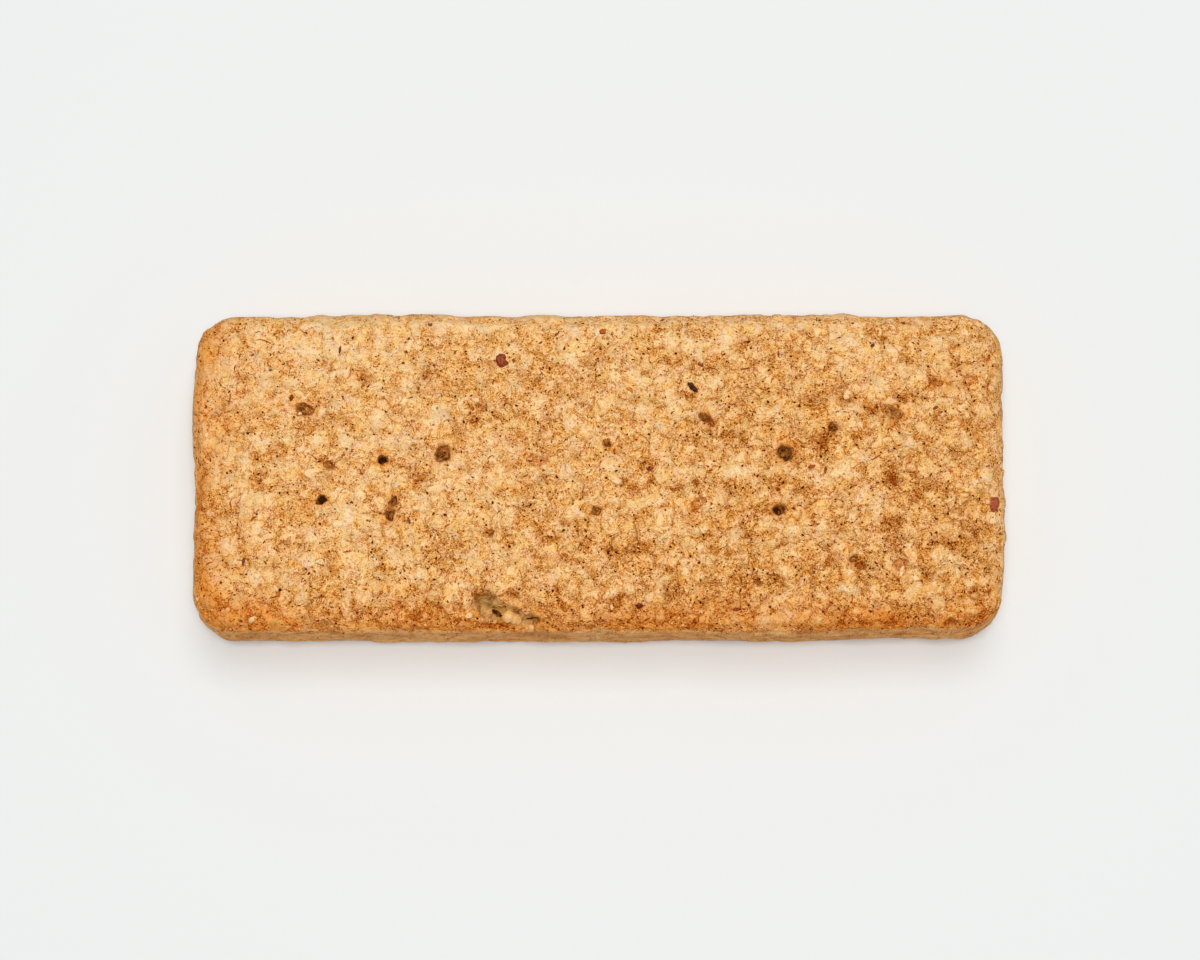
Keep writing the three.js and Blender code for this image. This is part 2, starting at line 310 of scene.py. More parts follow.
# Shallow dips between the lumps of crumb, and the lumps that stand out most; the dips are painted darker and
# the lumps lighter, partly their own tone and partly painted shade and light.
TROUGHS = spots(
    (-41.0, -0.3, 1.6, 0.9, 0.3, 10),
    (-33.0, 1.0, 1.1, 0.8, 0.3, -40),
    (-35.6, -5.2, 1.4, 0.6, 0.3),
    (-45.0, -4.6, 1.0, 0.8, 0.25),
    (-43.2, -11.0, 1.0, 0.8, 0.25),
    (-38.0, -8.5, 1.0, 0.7, 0.25, 30),
    (-35.3, -12.8, 1.4, 0.8, 0.25),
    (-30.2, -13.3, 1.5, 0.8, 0.2),
    (-26.0, -11.9, 1.4, 0.8, 0.25),
    (-24.9, -8.7, 0.9, 0.5, 0.25),
    (-21.9, -1.0, 1.7, 0.7, 0.35, 30),
    (-21.2, 11.8, 1.0, 0.8, 0.3, 60),
    (-19.6, 8.6, 1.0, 0.5, 0.25, -40),
    (-15.1, 13.4, 1.8, 0.7, 0.25),
    (-27.0, 8.8, 3.0, 0.8, 0.2),
    (-15.4, 6.2, 0.9, 0.7, 0.35),
    (-12.4, 7.1, 1.6, 0.8, 0.35, -45),
    (-10.0, 5.0, 1.3, 0.8, 0.25, -20),
    (-17.0, -8.6, 2.4, 0.8, 0.3),
    (-13.8, -7.9, 1.4, 0.7, 0.25, 25),
    (-20.4, -7.8, 1.5, 0.8, 0.2, -20),
    (-6.4, -8.6, 2.0, 0.8, 0.35),
    (-2.6, 1.2, 1.5, 0.8, 0.25),
    (-3.5, -10.6, 1.4, 0.5, 0.3),
    (2.0, -6.4, 1.8, 0.8, 0.25),
    (2.8, -9.6, 2.2, 0.7, 0.3),
    (4.2, -2.1, 1.8, 0.9, 0.4, -20),
    (7.2, 0.5, 2.0, 1.2, 0.2),
    (8.9, -2.2, 0.9, 0.6, 0.35),
    (10.1, -2.0, 0.6, 0.5, 0.4),
    (12.2, -1.6, 0.8, 0.6, 0.4),
    (15.8, -4.4, 0.9, 0.6, 0.35),
    (15.5, 4.0, 2.2, 0.8, 0.3, 10),
    (11.3, 12.6, 0.7, 1.0, 0.25),
    (8.4, 13.6, 0.9, 0.8, 0.25),
    (16.5, 12.8, 3.4, 0.5, 0.25),
    (19.3, 12.9, 1.3, 0.8, 0.3),
    (28.3, 12.6, 1.0, 0.7, 0.35),
    (18.6, -7.6, 1.4, 0.9, 0.35, 30),
    (13.7, -9.5, 1.3, 0.5, 0.3),
    (22.4, -9.4, 1.4, 0.5, 0.35, 15),
    (27.4, 3.9, 2.0, 1.0, 0.45, 40),
    (33.5, 7.9, 1.6, 0.9, 0.4, -30),
    (41.4, 6.6, 1.4, 0.8, 0.3),
    (38.6, 3.8, 1.1, 0.8, 0.25),
    (43.2, 2.4, 1.2, 1.0, 0.2),
    (35.9, -0.4, 1.0, 1.9, 0.4),
    (38.5, -3.3, 1.0, 0.9, 0.4),
    (35.6, -6.3, 2.2, 1.4, 0.3, 20),
    (40.2, -1.6, 1.6, 0.9, 0.2),
    (26.0, -2.2, 1.6, 0.8, 0.2),
    (29.8, -7.0, 1.0, 1.3, 0.4),
    (31.7, -11.2, 1.3, 0.9, 0.6, -15),
    (42.0, -8.8, 1.8, 0.8, 0.35),
    (46.7, -7.4, 1.1, 1.6, 0.3),
    (40.6, -12.2, 0.9, 0.8, 0.35),
    (43.6, -14.8, 1.1, 0.8, 0.45, 20),
    (45.0, -16.2, 0.8, 0.5, 0.3),
    (22.4, -13.4, 1.4, 0.8, 0.35, -40),
    (25.9, -13.9, 0.9, 0.5, 0.3),
    (17.2, -13.4, 2.2, 0.9, 0.25),
    (8.0, -12.2, 1.6, 0.8, 0.3),
    (8.7, -14.8, 1.2, 0.5, 0.3),
    (12.0, -16.6, 1.2, 0.7, 0.25),
    (2.2, -16.0, 0.8, 1.2, 0.35),
    (-5.2, -14.4, 0.8, 1.6, 0.2),
    (-5.6, -16.4, 0.9, 0.6, 0.4, 45),
    (-14.6, -14.9, 1.9, 0.7, 0.4, -10),
    (-22.6, -18.0, 2.6, 0.7, 0.25),
    (-30.0, -18.4, 1.3, 0.7, 0.25),
    (-47.2, 13.6, 1.0, 1.4, 0.2),
    (-45.4, 17.4, 1.2, 0.5, 0.2),
    (-47.6, 1.4, 0.9, 2.4, 0.2),
    (-44.6, -17.0, 2.6, 1.2, 0.2, -25),
    (-12.2, -19.0, 2.4, 0.5, 0.5, -6),
)
LUMPS = spots(
    (-34.0, 12.0, 2.2, 1.0, 0.35, 5),
    (-28.4, 6.2, 2.6, 1.3, 0.3, -45),
    (-24.8, 3.0, 1.5, 1.4, 0.35),
    (-24.6, -1.0, 1.2, 1.6, 0.3),
    (-20.6, 6.3, 1.3, 1.1, 0.3),
    (-30.8, -6.0, 1.3, 2.4, 0.3, -25),
    (-34.8, -0.4, 1.0, 0.9, 0.35),
    (-42.2, 9.2, 1.6, 1.0, 0.25),
    (-40.8, 3.2, 2.0, 1.0, 0.25, 10),
    (-31.9, 5.0, 1.3, 1.1, 0.3),
    (-20.0, -2.6, 1.6, 0.6, 0.3, 20),
    (-28.6, 14.6, 1.1, 0.8, 0.25),
    (-15.0, -1.0, 1.3, 1.0, 0.25),
    (-4.0, 8.0, 1.2, 1.8, 0.3),
    (1.2, 8.6, 0.7, 1.6, 0.3, -25),
    (-2.2, 16.6, 2.0, 1.2, 0.2),
    (1.6, 0.0, 1.6, 0.9, 0.4, 20),
    (5.4, -3.9, 1.6, 0.6, 0.35),
    (7.6, 11.0, 1.2, 0.9, 0.25),
    (4.3, 12.2, 1.2, 0.8, 0.25),
    (13.8, 11.2, 1.0, 0.9, 0.35),
    (19.6, 8.0, 1.0, 0.9, 0.3),
    (33.8, 4.0, 1.6, 1.1, 0.35),
    (30.0, 0.2, 1.5, 1.1, 0.35, 20),
    (23.4, -7.0, 1.3, 0.9, 0.35),
    (42.0, 13.3, 1.6, 1.2, 0.35),
    (42.0, -6.9, 0.9, 0.8, 0.3),
    (33.6, -3.6, 1.3, 1.0, 0.25),
    (-2.4, -12.4, 1.7, 1.1, 0.3),
    (-15.4, -11.6, 3.0, 1.0, 0.25),
    (-9.6, -11.0, 1.6, 0.9, 0.2),
    (6.6, -15.5, 1.2, 0.7, 0.35),
    (35.6, -15.0, 1.6, 0.9, 0.2),
    (26.6, -16.6, 1.6, 0.8, 0.2),
    (-38.2, 16.4, 2.0, 0.9, 0.2),
    (16.5, 0.6, 1.6, 1.0, 0.25),
    (-12.6, 3.4, 1.4, 1.0, 0.2),
)
# The flakes, bran, fruit and seeds that are large enough to have their own place.
OAT_SPOTS = spots(
    (-41.2, 12.5, 0.9, 0.32, 0.14, 85),
    (-35.0, -0.3, 0.8, 0.7, 0.16),
    (-19.9, -2.3, 1.5, 0.6, 0.2, 22),
    (6.5, -15.5, 0.95, 0.75, 0.4, 20),
    (7.5, 11.0, 0.9, 0.6, 0.18, 30),
    (4.3, 12.1, 0.9, 0.6, 0.18, -20),
    (0.8, 0.8, 0.9, 0.7, 0.25, 60),
    (2.0, -0.8, 1.0, 0.6, 0.22, -50),
    (42.0, -6.9, 0.7, 0.6, 0.16),
    (-25.6, -1.0, 0.8, 0.6, 0.18, 70),
    (-28.6, 14.6, 0.8, 0.6, 0.16, 10),
    (-15.9, -17.5, 0.55, 0.5, 0.2),
    (29.6, 13.7, 1.1, 0.6, 0.18, -20),
)
BRAN_SPOTS = spots(
    (-37.6, 9.2, 0.7, 0.3, 0.14, 78),
    (35.9, -1.2, 0.6, 1.2, 0.16, 10),
    (27.0, 3.6, 0.8, 0.25, 0.14, 55),
    (26.1, 0.6, 0.5, 0.3, 0.12, 20),
    (24.2, 0.8, 0.35, 0.25, 0.12),
    (27.6, 0.0, 0.55, 0.25, 0.12, 85),
    (21.7, -2.3, 0.35, 0.3, 0.12),
    (35.3, 16.5, 0.3, 0.25, 0.1),
    (0.6, 17.3, 0.65, 0.4, 0.12, 15),
    (-5.0, 16.9, 0.4, 0.3, 0.12),
    (16.6, -17.1, 0.6, 0.35, 0.14, 10),
    (-28.9, -0.4, 0.3, 0.2, 0.1),
)
AMBER_SPOTS = spots(
    (3.6, 10.1, 1.0, 0.4, 0.36, -25),
    (32.3, 5.2, 0.9, 0.22, 0.16, 82),
    (40.2, 15.3, 0.45, 0.35, 0.16),
    (-14.8, -17.6, 0.55, 0.4, 0.2),
    (22.3, 9.7, 0.8, 0.4, 0.3, 75),
    (-26.5, 2.8, 0.7, 0.4, 0.15, 20),
)
FRUIT_SPOTS = spots(
    (-11.8, 13.7, 1.0, 0.84, 0.75, 60),
    (48.2, -3.9, 1.25, 0.58, 0.5, 84),
    (5.0, -16.5, 0.56, 0.42, 0.4, 30),
    (6.4, 0.2, 0.5, 0.4, 0.2, 10),
    (18.4, 15.9, 0.3, 0.25, 0.18),
)
SEED_SPOTS = spots(
    (11.5, 10.3, 0.98, 0.42, 0.5, -50),
    (-31.8, 14.8, 0.5, 0.18, 0.16, 80),
    (-43.1, -11.0, 0.8, 0.2, 0.16, 80),
    (33.5, 15.3, 0.35, 0.25, 0.14, 30),
)
THREADS = spots(
    (-43.9, 14.0, 0.5, 0.09, 0.07, 75),
    (-44.5, 12.6, 0.45, 0.09, 0.07, 80),
    (-44.0, 11.8, 0.4, 0.08, 0.06, -50),
    (-45.0, 9.2, 1.1, 0.08, 0.06, 85),
    (-41.2, 16.1, 1.0, 0.08, 0.06, -10),
    (-30.1, 2.5, 0.7, 0.09, 0.07, 45),
    (-22.3, -1.3, 0.5, 0.11, 0.08, 0),
    (-23.0, 9.1, 0.4, 0.1, 0.08, 20),
    (-44.8, -3.9, 0.6, 0.1, 0.08, 85),
    (-47.3, -11.2, 0.5, 0.1, 0.08, 20),
    (-39.4, -15.4, 0.8, 0.09, 0.07, 15),
    (-38.9, -9.8, 0.5, 0.09, 0.07, -30),
    (-30.6, -9.9, 0.6, 0.08, 0.06, 10),
    (-26.2, -12.3, 0.4, 0.12, 0.09, 60),
    (-18.5, -6.8, 0.5, 0.09, 0.07, 35),
    (-16.7, -9.2, 0.5, 0.09, 0.07, -25),
    (-22.2, -18.1, 0.6, 0.1, 0.08, 5),
    (12.1, 11.8, 0.5, 0.1, 0.08, -20),
    (17.6, 12.7, 1.1, 0.08, 0.06, 4),
    (13.6, 12.6, 1.0, 0.08, 0.06, -6),
    (33.8, 1.6, 0.8, 0.09, 0.07, 30),
    (26.4, 2.9, 0.7, 0.1, 0.08, 50),
)


class Slot(Enum):
    """The record's material slots."""

    CRUMB = "baked_oat"
    OAT = "oat_flake"
    BRAN = "bran"
    FRUIT = "fruit_bit"
    SEED = "seed"


class Socket:
    """A shader value that can be added to, taken from and multiplied like a number."""

    def __init__(self, net: "Net", link: bpy.types.NodeSocket) -> None:
        """Wraps one output of a node."""
        self.net = net
        self.link = link

    def _math(self, operation: str, first: object, second: object) -> "Socket":
        """Adds a Math node for one operation."""
        return self.net.add("ShaderNodeMath", {"operation": operation}, {0: first, 1: second})

    def __add__(self, other: object) -> "Socket":
        """Adds."""
        return self._math("ADD", self, other)

    def __radd__(self, other: object) -> "Socket":
        """Adds, with the number first."""
        return self._math("ADD", other, self)

    def __sub__(self, other: object) -> "Socket":
        """Takes away."""
        return self._math("SUBTRACT", self, other)

    def __rsub__(self, other: object) -> "Socket":
        """Takes away from a number."""
        return self._math("SUBTRACT", other, self)

    def __mul__(self, other: object) -> "Socket":
        """Multiplies."""
        return self._math("MULTIPLY", self, other)

    def __rmul__(self, other: object) -> "Socket":
        """Multiplies, with the number first."""
        return self._math("MULTIPLY", other, self)

    def step(self, low: float, high: float) -> "Socket":
        """Gives a smooth step from 0 at low to 1 at high."""
        values = {"Value": self, "From Min": low, "From Max": high}
        return self.net.add("ShaderNodeMapRange", {"interpolation_type": "SMOOTHSTEP"}, values)


class Net:
    """The nodes of one material."""

    def __init__(self, name: str) -> None:
        """Starts a material with a Principled shader and an output."""
        self.material = bpy.data.materials.new(name)
        self.material.use_nodes = True
        self.tree = self.material.node_tree
        self.shader = self.tree.nodes["Principled BSDF"]

    def add(self, kind: str, settings: dict[str, object], inputs: dict[object, object],
            output: object = 0) -> Socket:
        """Adds a node.

        Args:
            kind: the node's type.
            settings: its properties, set first.
            inputs: values or links for its sockets, by name or number.
            output: the output to hand back, by name or number.

        Returns:
            That output.
        """
        node = self.tree.nodes.new(kind)
        for key, value in settings.items():
            setattr(node, key, value)
        for key, value in inputs.items():
            self._feed(node.inputs[key], value)
        return Socket(self, node.outputs[output])

    def _feed(self, socket: bpy.types.NodeSocket, value: object) -> None:
        """Links a socket to another node's output, or sets its number or colour."""
        if isinstance(value, Socket):
            self.tree.links.new(value.link, socket)
        else:
            socket.default_value = value

    def set(self, **values: object) -> None:
        """Sets the shader's sockets, with spaces written as underscores."""
        for key, value in values.items():
            self._feed(self.shader.inputs[key.replace("_", " ")], value)

    def place(self) -> Socket:
        """Gives the place on the piece in millimetres."""
        here = self.add("ShaderNodeTexCoord", {}, {}, "Object")
        scale = {0: here, "Scale": 1 / MM}
        return self.add("ShaderNodeVectorMath", {"operation": "SCALE"}, scale)

    def stretched(self, place: Socket, factors: tuple[float, float, float]) -> Socket:
        """Gives a place multiplied along each axis."""
        return self.add("ShaderNodeVectorMath", {"operation": "MULTIPLY"}, {0: place, 1: factors})

    def attribute(self, name: str) -> Socket:
        """Reads a number that the mesh carries at its vertices."""
        return self.add("ShaderNodeAttribute", {"attribute_name": name}, {}, "Fac")

    def noise(self, place: Socket, size: float, detail: float = 2.0, rough: float = 0.5) -> Socket:
        """Gives smooth noise from about 0 to 1 whose lumps are about size millimetres across."""
        values = {"Vector": place, "Scale": 1 / size, "Detail": detail, "Roughness": rough}
        return self.add("ShaderNodeTexNoise", {}, values, "Fac")

    def warp(self, place: Socket, size: float, amount: float) -> Socket:
        """Shifts a place by noise of one size, by about half the amount in millimetres."""
        values = {"Vector": place, "Scale": 1 / size, "Detail": 1.0}
        colour = self.add("ShaderNodeTexNoise", {}, values, "Color")
        centred = self.add("ShaderNodeVectorMath", {"operation": "SUBTRACT"}, {0: colour, 1: (0.5, 0.5, 0.5)})
        shift = self.add("ShaderNodeVectorMath", {"operation": "SCALE"}, {0: centred, "Scale": amount})
        return self.add("ShaderNodeVectorMath", {"operation": "ADD"}, {0: place, 1: shift})

    def cells(self, place: Socket, size: float) -> tuple[Socket, Socket]:
        """Gives the tone of each crumb cell, 0 to 1, and how far a point is from the cell's edge."""
        values = {"Vector": place, "Scale": 1 / size}
        colour = self.add("ShaderNodeTexVoronoi", {}, values, "Color")
        tone = self.add("ShaderNodeSeparateColor", {}, {0: colour}, 0)
        gap = self.add("ShaderNodeTexVoronoi", {"feature": "DISTANCE_TO_EDGE"}, values, "Distance")
        return tone, gap

    def ramp(self, share: Socket, tones: tuple, step: float) -> Socket:
        """Gives a colour on an even scale of tones, the first at 0 and each next one a step up."""
        colour = tones[0]
        for index, tone in enumerate(tones[1:]):
            rise = self.add("ShaderNodeMapRange", {}, {"Value": share, "From Min": index * step,
                                                       "From Max": (index + 1) * step})
            colour = self.blend(colour, tone, rise)
        return colour

    def spots(self, place: Socket, gap: float, radius: float, share: float, soft: float = 0.35) -> Socket:
        """Gives round dots of random size.

        Args:
            place: the place in millimetres.
            gap: about how far apart the dots' cells are.
            radius: the largest dot's radius.
            share: the share of cells that hold a dot.
            soft: how much of the radius the dot's edge takes.

        Returns:
            1 in a dot and 0 outside.
        """
        values = {"Vector": place, "Scale": 1 / gap, "Randomness": 1.0}
        away = self.add("ShaderNodeTexVoronoi", {}, values, "Distance")
        tint = self.add("ShaderNodeTexVoronoi", {}, values, "Color")
        dice = self.add("ShaderNodeSeparateColor", {}, {0: tint}, 0)
        size = self.add("ShaderNodeSeparateColor", {}, {0: tint}, 1)
        reach = radius / gap
        edge = (size * 0.6 + 0.4) * reach
        inside = 1 - self.add("ShaderNodeMapRange", {"interpolation_type": "SMOOTHSTEP"},
                              {"Value": away, "From Min": edge * (1 - soft), "From Max": edge})
        chosen = 1 - dice.step(share - 0.01, share + 0.01)
        return inside * chosen

    def blend(self, first: object, second: object, share: object, way: str = "MIX") -> Socket:
        """Mixes two colours, or multiplies the first by the second."""
        node = self.tree.nodes.new("ShaderNodeMix")
        node.data_type, node.blend_type = "RGBA", way
        for key, value in ((0, share), (6, first), (7, second)):
            self._feed(node.inputs[key], value)
        return Socket(self, node.outputs[2])

    def bump(self, height: Socket, distance: float) -> Socket:
        """Adds fine relief whose height of 1 stands distance millimetres up."""
        return self.add("ShaderNodeBump", {}, {"Height": height, "Distance": distance * MM, "Strength": 1.0})


@dataclass(frozen=True)
class CrumbFinish:
    """Baked oat crumb: cream crests and brown troughs, partly own tone and partly painted light and shade;
    golden crumb, dark specks, browner edges with painted shade along the front, and painted shadow in the
    pits.
    """

    tones: tuple = (rgb(84, 22, 0), rgb(144, 67, 5), rgb(190, 116, 43), rgb(229, 164, 90),
                    rgb(251, 202, 138), rgb(255, 220, 165))
    # Toasted colour for browning; along the front band it also paints shade.
    toasted: tuple = (0.88, 0.52, 0.16, 1.0)
    golden: tuple = (1.0, 0.92, 0.7, 1.0)
    milky: tuple = (1.0, 0.99, 1.12, 1.0)
    rosy: tuple = (1.0, 0.945, 1.04, 1.0)
    khaki: tuple = rgb(212, 162, 86)
    khaki_dark: tuple = rgb(120, 74, 26)
    # Pit tones: the pocket's browner crumb darkened as painted shade, and a painted black shadow.
    pit_tan: tuple = rgb(196, 134, 66)
    pit_brown: tuple = rgb(140, 84, 28)
    pit_painted_shadow: tuple = rgb(44, 14, 2)
    speck: tuple = rgb(104, 36, 4)
    # Wall layer tones, lifted paler as painted light on walls that the lamps leave in shade.
    wall_tan: tuple = rgb(255, 194, 128)
    wall_dark: tuple = rgb(190, 122, 68)
    # Pale lip along the ledge: partly the crust edge's paler colour, partly a painted highlight on the
    # ledge's top.
    lip: tuple = rgb(252, 202, 142)
    roughness: float = 0.8
    shine: float = 0.03
    middle: float = 0.96
    large_cell: float = 2.3
    small_cell: float = 0.9
    fine_grain: float = 0.27
    crisp_grain: float = 0.15
    relief_height: float = 0.26

    def material(self) -> bpy.types.Material:
        """Makes the slab's material."""
        net = Net("baked_oat_crumb")
        place = net.place()
        light, pit, toast_and_shade = net.attribute("light"), net.attribute("pit"), net.attribute("toast_and_shade")
        wall, khaki, lip = net.attribute("wall"), net.attribute("khaki"), net.attribute("lip")
        # Broad painted light and shade written on the mesh.
        painted_light = net.attribute("painted_light")
        bent = net.warp(net.warp(place, 1.6, 1.4), 0.5, 0.5)
        turned = net.warp(place, 3.0, 6.0)
        swirl = net.warp(place, 0.9, 0.8)
        large_tone, large_gap = net.cells(bent, self.large_cell)
        small_tone, small_gap = net.cells(bent, self.small_cell)
        large_edge = 1 - large_gap.step(0.0, 0.22)
        small_edge = 1 - small_gap.step(0.0, 0.24)
        grainy = net.noise(bent, 0.6, 1.0)
        along = net.noise(net.stretched(turned, (0.65, 1.35, 1.0)), self.fine_grain, 1.0)
        across = net.noise(net.stretched(turned, (1.35, 0.65, 1.0)), self.fine_grain, 1.0)
        crisp = net.noise(place, self.crisp_grain, 0.0)
        tiny = net.spots(swirl, 0.36, 0.135, 0.75, 0.7)
        small = net.spots(swirl, 0.66, 0.205, 0.75, 0.65)
        medium = net.spots(bent, 1.5, 0.21, 0.6)
        patchy = net.noise(place, 2.6, 1.0)
        # Where specks crowd and the crumb is a little darker: in troughs, pits and along cell edges, partly
        # painted shade.
        crowd = (0.3 - light * 2.3 + pit + (patchy - 0.5) * 1.2 + large_edge * 0.5
                 + small_edge * 0.3).step(0.0, 0.9)
        # Dark seams along the cell edges: partly dark joints of the crumb, partly painted shade in the
        # creases between lumps.
        seams_and_shade = ((1 - large_gap.step(0.01, 0.09)) * grainy.step(0.4, 0.58)
                 + (1 - small_gap.step(0.02, 0.15)) * (1 - grainy.step(0.42, 0.58)) * 0.8)
        # Painted shading of each cell as a dome: lighter in its middle, darker towards its edge.
        painted_dome_shading = large_gap.step(0.0, 0.35) + small_gap.step(0.0, 0.4) - 1
        grain = ((grainy - 0.5) * 0.46 + (along - 0.5) * 0.56 + (across - 0.5) * 0.56
                 + (crisp - 0.5) * 0.88)
        dots = tiny * (crowd * 0.64 + 0.12) + small * (crowd * 0.7 + 0.32)
        # The share adds painted light and shade: broad painted light from the mesh, lighter crests, darker
        # creases, troughs, pits and seams, and dome shading.
        share = (self.middle + painted_light + light * 1.05 + (large_tone - 0.5) * 0.15 + (small_tone - 0.5) * 0.16
                 + grain * (crowd * 0.48 + 0.6) - dots - crowd * 0.05 - pit * 0.15
                 - seams_and_shade * (crowd * 0.1 + 0.12) + painted_dome_shading * 0.06)
        colour = net.ramp(share, self.tones, 0.25)
        hue = net.noise(bent, 1.4, 2.0)
        colour = net.blend(colour, self.golden, 1 - hue.step(0.32, 0.56), "MULTIPLY")
        colour = net.blend(colour, self.milky, hue.step(0.52, 0.7), "MULTIPLY")
        colour = net.blend(colour, self.rosy, net.noise(place, 1.1, 1.0).step(0.55, 0.68), "MULTIPLY")
        dull = net.blend(self.khaki, self.khaki_dark, large_edge * 0.6 + (1 - grainy.step(0.35, 0.6)) * 0.4)
        colour = net.blend(colour, dull, khaki)
        # Browning, which along the front band is also painted shade.
        colour = net.blend(colour, self.toasted, toast_and_shade, "MULTIPLY")
        # The walls' layers, in tones lifted paler as painted light on walls that the lamps leave in shade.
        layers = net.noise(net.stretched(place, (0.22, 0.22, 0.6)), 1.0, 3.0, 0.65)
        side = net.blend(self.wall_dark, self.wall_tan, layers.step(0.36, 0.62))
        colour = net.blend(colour, side, wall * 0.4)
        # The pale lip along the ledge, partly a painted highlight.
        colour = net.blend(colour, self.lip, lip)
        colour = net.blend(colour, self.speck, medium * 0.85)
        # Pit insides: tan to brown crumb darkened with depth as painted shade, and a painted black shadow at
        # the deepest.
        hollow = pit + (grainy - 0.5) * 1.7 + (along - 0.5) * 1.4 + (small_tone - 0.5) * 0.3
        inside = net.blend(self.pit_tan, self.pit_brown, hollow.step(0.35, 0.85))
        colour = net.blend(colour, inside, hollow.step(0.25, 0.65) * pit.step(0.0, 0.2) * 0.95)
        colour = net.blend(colour, self.pit_painted_shadow, hollow.step(0.8, 1.25) * 0.9)
        relief = (patchy * 1.2 + grainy * 0.8 + along * 0.6 + across * 0.6 + small_tone * 0.3
                  - small * 0.5 - medium * 0.6 - large_edge * 0.3 - small_edge * 0.15)
        net.set(Base_Color=colour, Roughness=self.roughness, Specular_IOR_Level=self.shine,
                Normal=net.bump(relief, self.relief_height))
        return net.material


@dataclass(frozen=True)
class BitFinish:
    """A small pressed-in bit: two tones that each bit mixes in its own share, and a dull skin."""

    name: str
    light: tuple
    dark: tuple
    roughness: float = 0.75
    grain: float = 0.3
    speck: tuple = rgb(150, 84, 36)
    specks: float = 0.0
    shine: float = 0.04
    relief_height: float = 0.08

    def material(self) -> bpy.types.Material:
        """Makes the bits' material, mixed by the tone that each bit carries."""
        net = Net(self.name)
        place = net.place()
        tone = net.attribute("tone")
        mottle = net.noise(place, self.grain, 2.0)
        share = tone * 0.6 + (mottle - 0.5) * 1.6 + 0.2
        colour = net.blend(self.dark, self.light, share.step(0.0, 1.0))
        if self.specks:
            dots = net.spots(place, 0.5, 0.14, 0.7)
            colour = net.blend(colour, self.speck, dots * self.specks)
        net.set(Base_Color=colour, Roughness=self.roughness, Specular_IOR_Level=self.shine,
                Normal=net.bump(mottle, self.relief_height))
        return net.material


def hand_in(mesh: bpy.types.Mesh, name: str, material: bpy.types.Material) -> bpy.types.Object:
    """Puts a finished mesh into the scene as a piece of the bar.

    Args:
        mesh: the mesh, in metres, in its place.
        name: the piece's name.
        material: its material.

    Returns:
        The piece, riding on the bar's body.
    """
    mesh.materials.append(material)
    piece = bpy.data.objects.new(name, mesh)
    bpy.context.scene.collection.objects.link(piece)
    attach(piece, BODY)
    log.info("%s: %d vertices, %d faces", name, len(mesh.vertices), len(mesh.polygons))
    return piece


def carry(mesh: bpy.types.Mesh, name: str, values: Array) -> None:
    """Writes one number for each vertex into a mesh."""
    attribute = mesh.attributes.new(name, "FLOAT", "POINT")
    attribute.data.foreach_set("value", values.astype(np.float32))


@dataclass(frozen=True)
class Skin:
    """The slab's smooth skin, point by point: place, direction outwards, distance in from the outline."""

    points: Array
    normals: Array
    inset: Array
    base: Array

    @property
    def top_share(self) -> Array:
        """How far each point faces up, 0 to 1."""
        return np.clip(self.normals[:, 2], 0, 1)

    @property
    def top(self) -> Array:
        """Which points are on the top."""
        return (self.top_share > 0.5) & ~self.base

    @property
    def walls(self) -> Array:
        """Which points are on the walls."""
        return ~self.top & ~self.base


@dataclass
class Hollows:
    """What the spots of the top do at each point: heights in millimetres, and shares from 0 to about 1."""

    soft: Array
    bright: Array
    deep: Array
    pit: Array
    halo: Array
    khaki: Array


@dataclass(frozen=True)
class Browning:
    """How strongly each part of the bar is browned, and over how many millimetres; the front band also takes
    painted shade, and a ring round each pit is made darker and more orange.
    """

    left_edge: float = 0.52
    left_edge_reach: float = 6.0
    left_end: float = 0.14
    left_end_reach: float = 20.0
    # The front band: browning and painted shade on the slope that faces away from the far light.
    front: float = 0.62
    front_reach: float = 6.5
    corner: float = 0.35
    corner_reach: float = 16.0
    rim: float = 0.22
    rim_reach: float = 2.6
    round_pits: float = 0.44
    patchy: float = 0.6
    most: float = 0.8
    underside: float = 0.75

    def at(self, form: SlabForm, skin: Skin, halo: Array) -> Array:
        """Gives the browning at each point.

        Args:
            form: the slab's sizes.
            skin: its smooth skin.
            halo: how near to a pit each point lies, 0 to 1.

        Returns:
            A share from 0 to the most.
        """
        patches = Relief(5.0, 1.0, 77).at(skin.points)
        from_left = skin.points[:, 0] + form.length / 2
        from_front = skin.points[:, 1] + form.width / 2
        left = eased(self.left_edge_reach, 0.0, from_left) * self.left_edge
        left += eased(self.left_end_reach, 0.0, from_left) * self.left_end
        front = eased(self.front_reach, 0.5, from_front) * self.front
        corner = eased(self.corner_reach, 3.0, np.hypot(from_left, from_front * 1.6)) * self.corner
        rim = eased(self.rim_reach, 0.0, skin.inset) * self.rim
        total = (left + front + corner + rim) * (1 + self.patchy * patches) + halo * self.round_pits
        return np.where(skin.base, self.underside, np.clip(total, 0, self.most))


